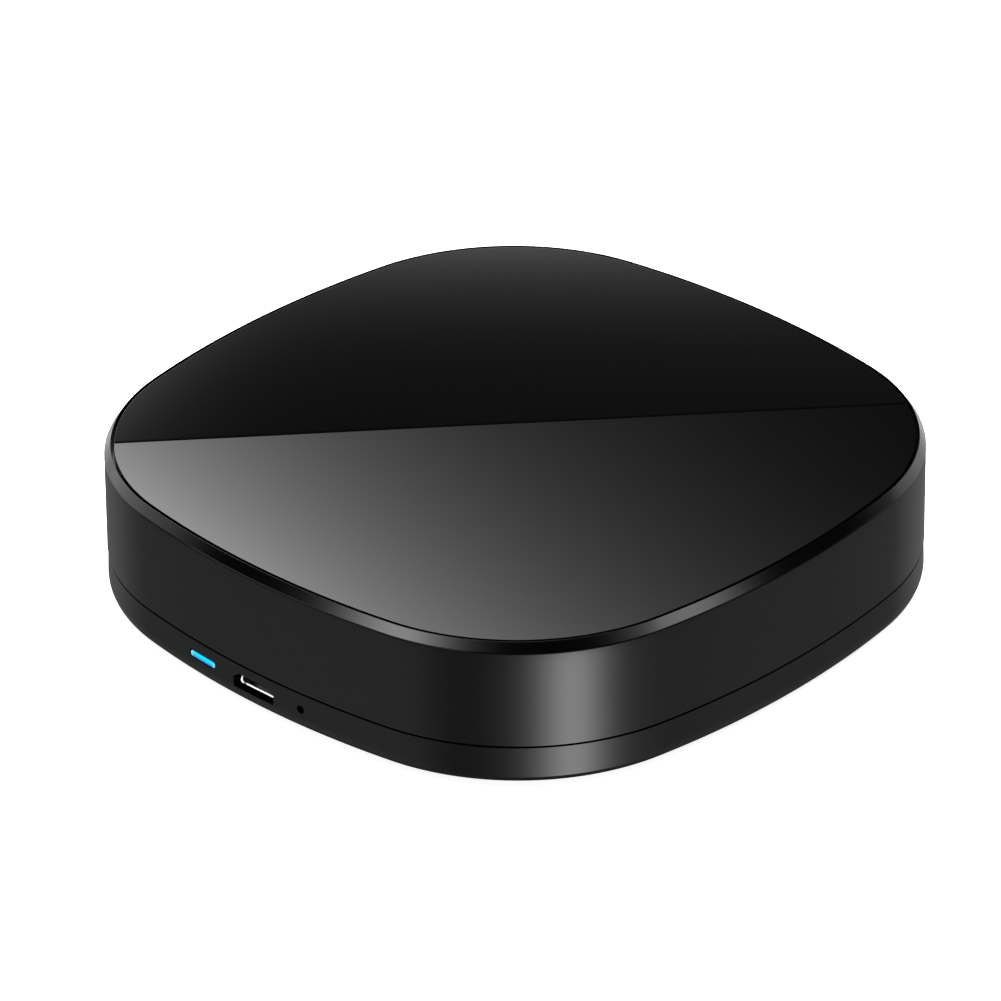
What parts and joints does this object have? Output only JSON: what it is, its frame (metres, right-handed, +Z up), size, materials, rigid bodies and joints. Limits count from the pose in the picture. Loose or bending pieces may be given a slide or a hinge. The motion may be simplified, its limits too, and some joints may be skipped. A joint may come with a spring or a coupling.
{
  "type": "smart ir blaster",
  "caption": "Low rounded-square infrared blaster: gloss top panel in a chamfered shell over a base with feet, a socket, a status light and a reset button.",
  "frame": {"origin": "middle of the surface that the four feet stand on", "axes": "+Z up out of the top panel, -Y out of the front wall with the socket, +X to the right seen from the front"},
  "size_m": [0.1, 0.1, 0.0224],
  "materials": {
    "gloss_panel": "polished black plastic that passes infrared",
    "adhesive": "foam adhesive ring",
    "shell_plastic": "satin black moulded plastic",
    "foot_rubber": "matt rubber",
    "screw_steel": "zinc plated",
    "board_laminate": "green solder mask over glass laminate",
    "socket_steel": "bright plated sheet",
    "socket_plastic": "moulded black plastic",
    "contact_gold": "gold plated",
    "part_plastic": "moulded black epoxy",
    "tinned_leads": "tinned",
    "button_plastic": "ivory moulded plastic",
    "lamp_white": "white moulded reflector",
    "lamp_lens": "yellow phosphor window",
    "status_light": "clear bar lit cyan blue from behind",
    "emitter_epoxy": "dark tinted epoxy",
    "receiver_epoxy": "black epoxy",
    "module_laminate": "blue solder mask",
    "antenna_copper": "masked copper track",
    "shield_steel": "tinned sheet",
    "can_aluminium": "bright aluminium",
    "chip_ceramic": "tan ceramic"
  },
  "bodies": {
    "housing": {"top_panel": "gloss_panel", "panel_gasket": "adhesive", "upper_shell": "shell_plastic", "base_shell": "shell_plastic", "foot_1": "foot_rubber", "foot_2": "foot_rubber", "foot_3": "foot_rubber", "foot_4": "foot_rubber", "case_screws": "screw_steel", "board_screws": "screw_steel", "main_board": "board_laminate", "usb_shell": "socket_steel", "usb_tongue": "socket_plastic", "usb_contacts": "contact_gold", "reset_switch": "part_plastic", "switch_terminals": "tinned_leads", "reset_dome": "tinned_leads", "status_led": "lamp_white", "status_led_lens": "lamp_lens", "light_pipe": "status_light", "emitter_1": "emitter_epoxy", "emitter_2": "emitter_epoxy", "emitter_3": "emitter_epoxy", "emitter_4": "emitter_epoxy", "emitter_5": "emitter_epoxy", "emitter_6": "emitter_epoxy", "top_emitter": "emitter_epoxy", "emitter_leads": "tinned_leads", "ir_receiver": "receiver_epoxy", "receiver_leads": "tinned_leads", "module_board": "module_laminate", "module_antenna": "antenna_copper", "module_shield": "shield_steel", "module_chip": "part_plastic", "capacitor_base": "part_plastic", "capacitor_can": "can_aluminium", "regulator": "part_plastic", "regulator_leads": "tinned_leads", "driver_transistors": "part_plastic", "transistor_leads": "tinned_leads", "chip_resistors": "part_plastic", "chip_capacitors": "chip_ceramic"},
    "reset_button": {"reset_plunger": "button_plastic"}
  },
  "joints": [
    {"name": "reset_press", "type": "slide", "parent": "housing", "child": "reset_button", "axis": [0, 1, 0], "range_m": [0, 0.00025], "stiffness_N_per_m": 3000, "springref_m": -0.0003}
  ]
}
